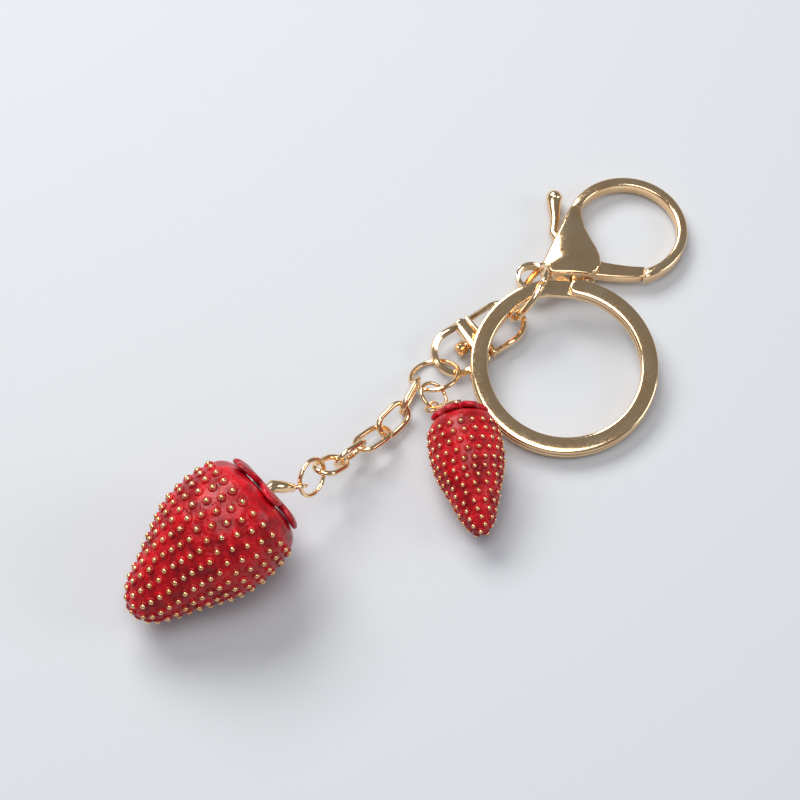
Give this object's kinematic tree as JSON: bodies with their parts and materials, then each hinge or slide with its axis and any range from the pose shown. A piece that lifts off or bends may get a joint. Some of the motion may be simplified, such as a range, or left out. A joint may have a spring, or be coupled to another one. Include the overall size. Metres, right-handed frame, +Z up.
{
  "type": "charm keychain",
  "caption": "Keychain of light gold-plated metal: a trigger clasp, a flat split key ring, a swivel and a short chain with a large and a small red strawberry charm.",
  "frame": {"origin": "bottom centre of the whole keychain as it lies, on the surface under it", "axes": "+X runs along the keychain from the large berry to the clasp, and +Z is up from the surface"},
  "size_m": [0.1132, 0.0414, 0.0205],
  "materials": {
    "gold_plate": "mirror polish",
    "red_enamel": "glossy translucent enamel",
    "spring_steel": "drawn wire"
  },
  "bodies": {
    "chain_end_ring": {"chain_end_ring": "gold_plate"},
    "chain_link_1": {"chain_link_1": "gold_plate"},
    "chain_link_2": {"chain_link_2": "gold_plate"},
    "chain_link_3": {"chain_link_3": "gold_plate"},
    "chain_link_4": {"chain_link_4": "gold_plate"},
    "chain_link_5": {"chain_link_5": "gold_plate"},
    "charm_ring": {"charm_ring": "gold_plate"},
    "clasp": {"clasp_body": "gold_plate", "clasp_gate_spring": "spring_steel", "clasp_pivot_pin": "gold_plate"},
    "clasp_gate": {"clasp_gate": "gold_plate"},
    "connector_ring": {"connector_ring": "gold_plate"},
    "large_berry": {"large_berry_body": "red_enamel", "large_berry_calyx": "red_enamel", "large_berry_eye_pin": "gold_plate"},
    "small_berry": {"small_berry_body": "red_enamel", "small_berry_calyx": "red_enamel", "small_berry_eye_pin": "gold_plate"},
    "small_ring": {"small_ring": "gold_plate"},
    "split_ring": {"split_ring": "gold_plate"},
    "swivel_lower": {"swivel_lower_loop": "gold_plate"},
    "swivel_upper": {"swivel_rivet": "gold_plate", "swivel_upper_loop": "gold_plate"}
  },
  "joints": [
    {"name": "clasp_swing", "type": "hinge", "parent": "connector_ring", "child": "clasp", "pos_m": [0.02537, 0.00724, 0.00534], "axis": [0.394, -0.8078, -0.4384], "range_deg": [-30, 25]},
    {"name": "gate_pivot", "type": "hinge", "parent": "clasp", "child": "clasp_gate", "pos_m": [0.036, 0.00682, 0.00255], "axis": [0.0491, -0.0082, 0.9988], "range_deg": [0, 28], "stiffness_Nm_per_rad": 0.004, "springref_deg": -28.65, "deforming": ["clasp_gate_spring"]},
    {"name": "key_ring_swing", "type": "hinge", "parent": "connector_ring", "child": "split_ring", "pos_m": [0.02527, 0.00712, 0.00548], "axis": [0.9575, -0.2872, 0.0259], "range_deg": [-90, 0]},
    {"name": "swivel_hook_swing", "type": "hinge", "parent": "connector_ring", "child": "swivel_upper", "pos_m": [0.02537, 0.00724, 0.00534], "axis": [0.394, -0.8078, -0.4384], "range_deg": [0, 35]},
    {"name": "swivel_spin", "type": "hinge", "parent": "swivel_upper", "child": "swivel_lower", "pos_m": [0.01507, 0.00751, 0.00218], "axis": [-0.9967, 0.0784, -0.0209], "range_deg": [-40, 8]},
    {"name": "charm_ring_swing", "type": "hinge", "parent": "swivel_lower", "child": "charm_ring", "pos_m": [0.00738, 0.00694, 0.00171], "axis": [0.2748, -0.9321, -0.236], "range_deg": [0, 50]},
    {"name": "small_ring_swing", "type": "hinge", "parent": "charm_ring", "child": "small_ring", "pos_m": [0.00317, 0.0042, 0.00369], "axis": [0.7922, -0.594, 0.1401], "range_deg": [-60, 35]},
    {"name": "small_berry_swing", "type": "hinge", "parent": "small_ring", "child": "small_berry", "pos_m": [0.00067, 0.00195, 0.00429], "axis": [0.515, -0.7017, -0.4924], "range_deg": [-25, 60]},
    {"name": "chain_1_swing", "type": "hinge", "parent": "charm_ring", "child": "chain_link_1", "pos_m": [0.00165, 0.00713, 0.0026], "axis": [0.0123, 0.9065, -0.4219], "range_deg": [-60, 60]},
    {"name": "chain_2_swing", "type": "hinge", "parent": "chain_link_1", "child": "chain_link_2", "pos_m": [-0.00286, 0.00512, 0.00234], "axis": [-0.0122, -0.1008, 0.9948], "range_deg": [-18, 35]},
    {"name": "chain_3_swing", "type": "hinge", "parent": "chain_link_2", "child": "chain_link_3", "pos_m": [-0.00776, 0.00426, 0.00269], "axis": [0.0742, -0.7049, -0.7054], "range_deg": [-60, 60]},
    {"name": "chain_4_swing", "type": "hinge", "parent": "chain_link_3", "child": "chain_link_4", "pos_m": [-0.0126, 0.004, 0.00381], "axis": [0.126, -0.9344, 0.3333], "range_deg": [-60, 60]},
    {"name": "chain_5_swing", "type": "hinge", "parent": "chain_link_4", "child": "chain_link_5", "pos_m": [-0.01708, 0.00345, 0.00591], "axis": [-0.4343, 0.1216, -0.8925], "range_deg": [-60, 60]},
    {"name": "end_ring_swing", "type": "hinge", "parent": "chain_link_5", "child": "chain_end_ring", "pos_m": [-0.02115, 0.00274, 0.0087], "axis": [0.3103, -0.9261, 0.2146], "range_deg": [-60, 60]},
    {"name": "large_berry_swing", "type": "hinge", "parent": "chain_end_ring", "child": "large_berry", "pos_m": [-0.02546, 0.00198, 0.01042], "axis": [0.2527, 0.4737, 0.8436], "range_deg": [-60, 60]}
  ]
}
